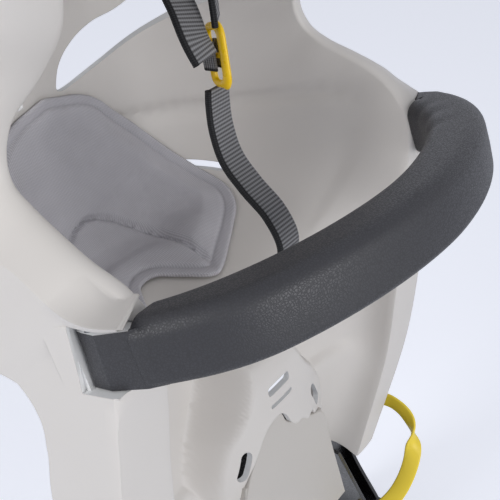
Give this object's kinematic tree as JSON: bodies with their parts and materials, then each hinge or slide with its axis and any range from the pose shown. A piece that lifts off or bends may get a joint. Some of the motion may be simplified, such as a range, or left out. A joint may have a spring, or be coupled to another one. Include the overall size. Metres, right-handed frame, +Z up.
{
  "type": "bicycle child seat",
  "caption": "Moulded child seat for a bicycle with a rolled rim, leg guards, swinging safety bar, soft seat pad, strap harness and sliding footrests on a clip-in receiver.",
  "frame": {"origin": "centre of the receiver's flat bottom face, where the seat stands on the bicycle's bracket", "axes": "+Z up along the height, -Y the way the child faces, +X towards the child's left hand"},
  "size_m": [0.3484, 0.3662, 0.6854],
  "materials": {
    "shell": "fine satin moulded plastic",
    "charcoal": "fine leather-grain plastic",
    "black": "satin moulded plastic",
    "knit": "fine ribbed knit over foam",
    "webbing": "ribbed woven webbing with dark edges",
    "yellow": "glossy moulded plastic",
    "yellow_strap": "smooth soft plastic",
    "steel": "plain zinc-plated steel"
  },
  "bodies": {
    "seat": {"seat_shell": "shell", "pommel_panel": "shell", "mount_receiver": "black", "footrest_guide_left": "black", "footrest_guide_right": "black", "crotch_anchor": "black", "buckle_body": "black", "buckle_tongue_left": "black", "buckle_tongue_right": "black", "shoulder_anchor_left": "black", "shoulder_anchor_right": "black", "seat_pad": "knit", "shoulder_pad_left": "knit", "shoulder_pad_right": "knit", "crotch_strap": "webbing", "strap_loop": "webbing", "shoulder_strap_left": "webbing", "shoulder_strap_right": "webbing", "strap_slider": "yellow", "bar_hinge_pin": "steel", "receiver_screw_1": "steel", "receiver_screw_2": "steel", "receiver_screw_3": "steel", "receiver_screw_4": "steel", "guide_screw_left_1": "steel", "guide_screw_left_2": "steel", "guide_screw_right_1": "steel", "guide_screw_right_2": "steel"},
    "bar": {"safety_bar": "charcoal"},
    "bar_latch": {"bar_latch_button": "charcoal"},
    "release": {"release_button": "charcoal"},
    "buckle_press": {"buckle_button": "yellow"},
    "foot_left": {"footrest_left": "black", "foot_strap_left": "yellow_strap"},
    "foot_right": {"footrest_right": "black", "foot_strap_right": "yellow_strap"},
    "lock_left": {"footrest_lock_left": "charcoal"},
    "lock_right": {"footrest_lock_right": "charcoal"}
  },
  "joints": [
    {"name": "bar_swing", "type": "hinge", "parent": "seat", "child": "bar", "pos_m": [-0.1565, -0.01932, 0.2993], "axis": [0, -0.3584, -0.9336], "range_deg": [0, 85]},
    {"name": "bar_latch_press", "type": "slide", "parent": "seat", "child": "bar_latch", "axis": [-1, 0, 0], "range_m": [0, 0.0025], "stiffness_N_per_m": 400, "springref_m": -0.001},
    {"name": "release_press", "type": "slide", "parent": "seat", "child": "release", "axis": [0, -1, 0], "range_m": [0, 0.004], "stiffness_N_per_m": 400, "springref_m": -0.001},
    {"name": "buckle_press", "type": "slide", "parent": "seat", "child": "buckle_press", "axis": [0, 0.9397, -0.342], "range_m": [0, 0.0025], "stiffness_N_per_m": 400, "springref_m": -0.001},
    {"name": "footrest_left_slide", "type": "slide", "parent": "seat", "child": "foot_left", "axis": [0.3387, 0, -0.9409], "range_m": [0, 0.03]},
    {"name": "footrest_right_slide", "type": "slide", "parent": "seat", "child": "foot_right", "axis": [-0.3387, 0, -0.9409], "range_m": [0, 0.03]},
    {"name": "lock_left_press", "type": "slide", "parent": "seat", "child": "lock_left", "axis": [0, -1, 0], "range_m": [0, 0.0025], "stiffness_N_per_m": 400, "springref_m": -0.001},
    {"name": "lock_right_press", "type": "slide", "parent": "seat", "child": "lock_right", "axis": [0, -1, 0], "range_m": [0, 0.0025], "stiffness_N_per_m": 400, "springref_m": -0.001}
  ]
}
